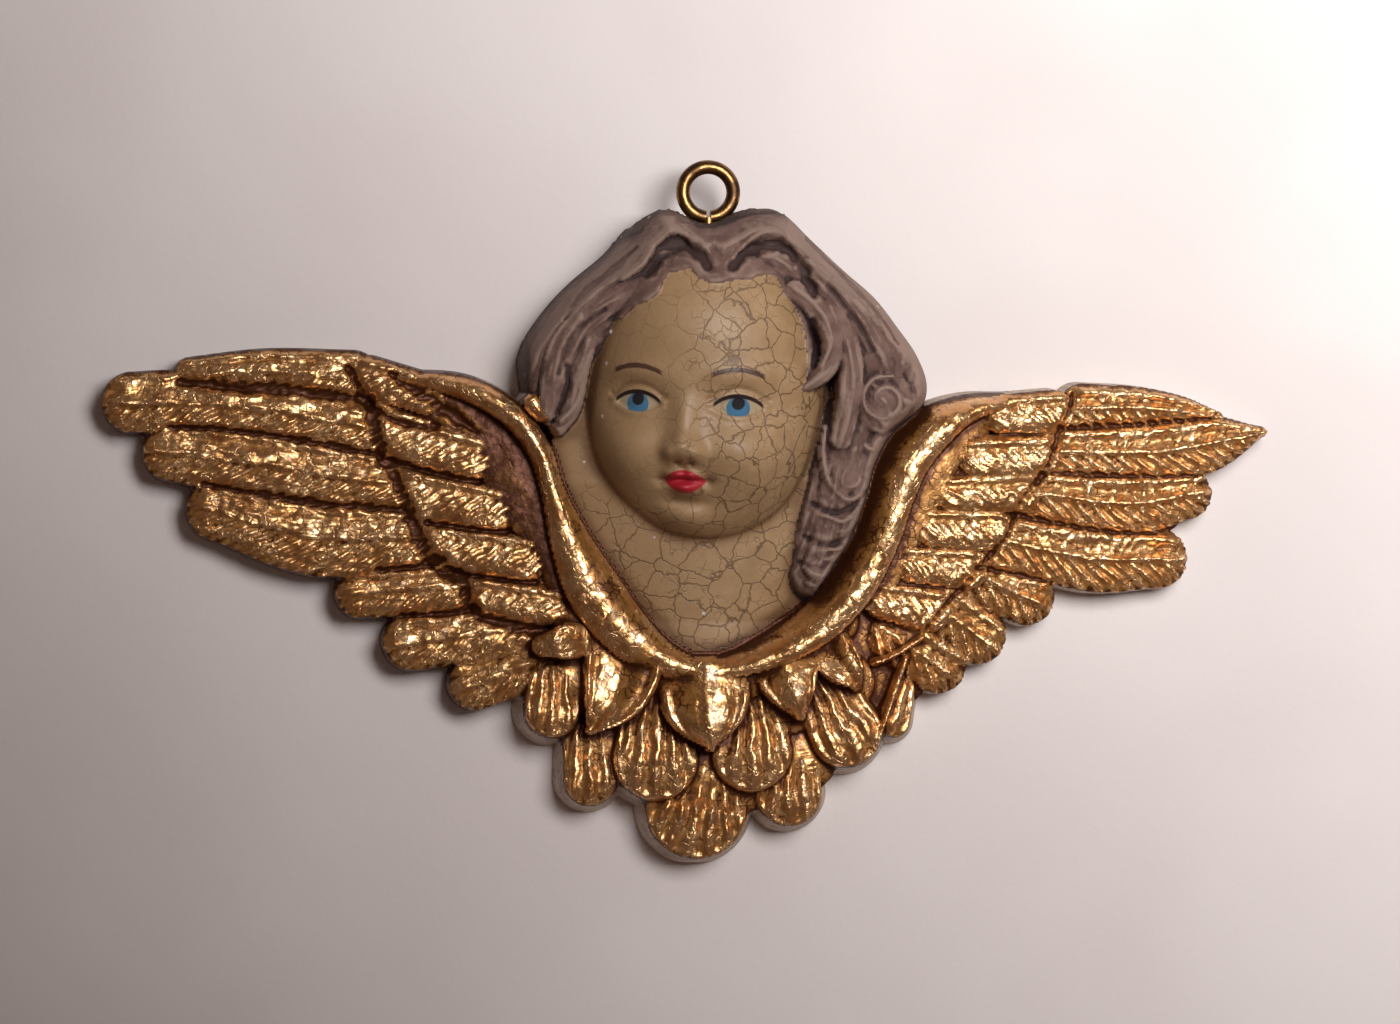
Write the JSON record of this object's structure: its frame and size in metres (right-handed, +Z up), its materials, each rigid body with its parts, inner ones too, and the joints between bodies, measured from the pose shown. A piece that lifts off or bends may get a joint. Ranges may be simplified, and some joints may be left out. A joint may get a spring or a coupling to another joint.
{
  "type": "winged cherub head",
  "caption": "Small relief of a curly-haired child's head between spread feathered wings, flat at the back, hung by a wire eye in its crown.",
  "frame": {"origin": "centre of the wire eye that the part hangs by", "axes": "+Z up as it hangs, +X to the viewer's right along the wings, +Y out of the flat back towards the wall; the relief faces -Y"},
  "size_m": [0.1101, 0.0169, 0.0659],
  "materials": {
    "gilded_resin": "cast resin, gilded wings over a red-brown ground, hand-painted face and hair with fine cracks",
    "brass_wire": "tarnished, smooth"
  },
  "bodies": {
    "root": {"winged_head": "gilded_resin", "hanging_eye": "brass_wire"}
  },
  "joints": []
}
